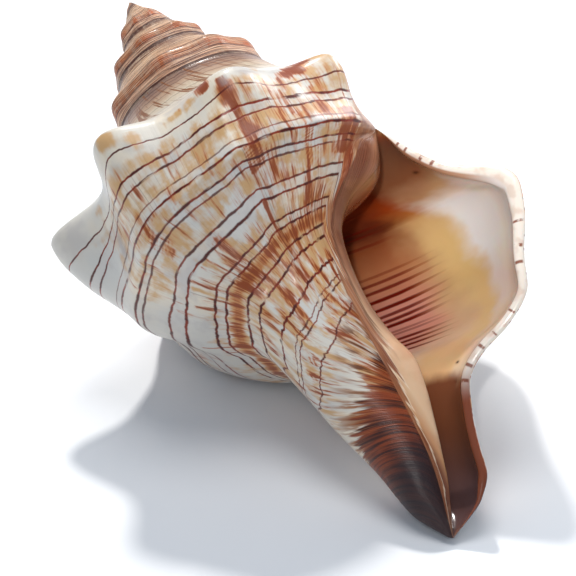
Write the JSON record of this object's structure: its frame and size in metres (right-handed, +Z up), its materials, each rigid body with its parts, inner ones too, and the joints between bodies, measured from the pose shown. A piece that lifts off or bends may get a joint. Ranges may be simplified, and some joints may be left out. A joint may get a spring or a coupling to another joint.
{
  "type": "conch shell",
  "caption": "Right-handed striped conch shell with a knobbed spire, flared open mouth and drawn-out canal, lying at rest with its opening up.",
  "frame": {"origin": "on the surface that the shell lies on, under the middle of its bounding box", "axes": "+Z up, +Y towards the apex of the spire, -Y towards the tip of the canal, +X towards the side with the flared lip"},
  "size_m": [0.0812, 0.1164, 0.0687],
  "materials": {
    "shell": "glossy cream shell with fine dark spiral lines, brown knobs and a brown mouth"
  },
  "bodies": {
    "root": {"shell": "shell"}
  },
  "joints": []
}
